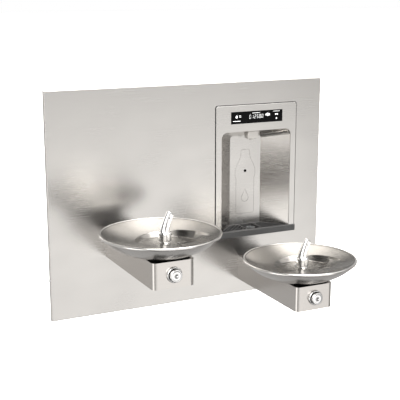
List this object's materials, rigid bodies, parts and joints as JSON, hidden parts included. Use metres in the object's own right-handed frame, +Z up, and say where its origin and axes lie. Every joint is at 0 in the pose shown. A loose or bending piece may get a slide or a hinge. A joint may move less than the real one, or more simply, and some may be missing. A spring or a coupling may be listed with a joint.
{
  "type": "drinking fountain",
  "caption": "Two-level wall drinking fountain: flat steel panel, two cantilevered arms with round bowls, leaning bubblers and push buttons, and a recessed bottle filler bay.",
  "frame": {"origin": "on the wall plane, at the centre of the four wall bolts", "axes": "+Z up, +Y into the wall, +X to the user's right"},
  "size_m": [1.0046, 0.5776, 0.743],
  "materials": {
    "panel_steel": "satin, brushed level",
    "arm_steel": "satin, brushed along the arm",
    "bowl_steel": "satin to bright, turned",
    "black_paint": "matt black",
    "chrome": "polished plate",
    "strainer_steel": "bright",
    "waste_chrome": "plated tube",
    "spring_steel": "drawn wire",
    "brass": "forged and turned",
    "plunger_steel": "ground",
    "water_tube": "extruded tube",
    "bolt_steel": "zinc plated",
    "cable_jacket": "cable jacket",
    "galvanised": "galvanised",
    "surround_steel": "satin",
    "liner_steel": "satin",
    "back_steel": "satin",
    "display_gloss": "gloss black",
    "circuit_board": "circuit board",
    "black_plastic": "moulded",
    "grey_plastic": "moulded, metallic grey",
    "tray_plastic": "moulded dark grey",
    "waste_plastic": "drain pipe",
    "coil_resin": "resin moulded coil"
  },
  "bodies": {
    "fountain": {"left_arm_shell": "arm_steel", "left_bottom_cover": "arm_steel", "left_bowl_saddle": "black_paint", "left_bowl": "bowl_steel", "left_bowl_underside": "bowl_steel", "left_bubbler": "chrome", "left_bowl_strainer": "strainer_steel", "left_waste_pipe": "waste_chrome", "left_button_ring": "chrome", "left_button_spring": "spring_steel", "left_valve_body": "brass", "left_bubbler_tube": "water_tube", "left_supply_tube": "water_tube", "right_arm_shell": "arm_steel", "right_bottom_cover": "arm_steel", "right_bowl_saddle": "black_paint", "right_bowl": "bowl_steel", "right_bowl_underside": "bowl_steel", "right_bubbler": "chrome", "right_bowl_strainer": "strainer_steel", "right_waste_pipe": "waste_chrome", "right_button_ring": "chrome", "right_button_spring": "spring_steel", "right_valve_body": "brass", "right_bubbler_tube": "water_tube", "right_supply_tube": "water_tube", "arm_bolts": "bolt_steel", "cover_screws": "bolt_steel", "bubbler_nuts": "brass", "panel_screws": "bolt_steel", "wiring": "cable_jacket", "back_panel": "panel_steel", "wall_frame": "galvanised", "filler_surround": "surround_steel", "filler_liner": "liner_steel", "filler_back_panel": "back_steel", "display_window": "display_gloss", "display_board": "circuit_board", "sensor_window": "display_gloss", "sensor_module": "black_plastic", "nozzle_housing": "grey_plastic", "nozzle_outlet": "grey_plastic", "drip_tray": "tray_plastic", "tray_drain": "strainer_steel", "tray_waste_tube": "waste_plastic", "service_plate": "galvanised", "solenoid_body": "brass", "solenoid_coil": "coil_resin", "solenoid_spring": "spring_steel", "supply_manifold": "brass", "solenoid_feed_tube": "water_tube", "filler_tube": "water_tube", "control_box": "black_plastic", "control_box_lid": "black_plastic", "waste_manifold": "waste_plastic"},
    "left_button": {"left_button_cap": "chrome", "left_valve_plunger": "plunger_steel"},
    "right_button": {"right_button_cap": "chrome", "right_valve_plunger": "plunger_steel"},
    "solenoid_core": {"solenoid_plunger": "plunger_steel"}
  },
  "joints": [
    {"name": "left_button_push", "type": "slide", "parent": "fountain", "child": "left_button", "axis": [0, 1, 0], "range_m": [0, 0.004], "stiffness_N_per_m": 1500, "springref_m": -0.004, "deforming": ["left_button_spring"]},
    {"name": "right_button_push", "type": "slide", "parent": "fountain", "child": "right_button", "axis": [0, 1, 0], "range_m": [0, 0.004], "stiffness_N_per_m": 1500, "springref_m": -0.004, "deforming": ["right_button_spring"]},
    {"name": "solenoid_lift", "type": "slide", "parent": "fountain", "child": "solenoid_core", "axis": [0, 1, 0], "range_m": [0, 0.002], "stiffness_N_per_m": 400, "springref_m": -0.004, "deforming": ["solenoid_spring"]}
  ]
}
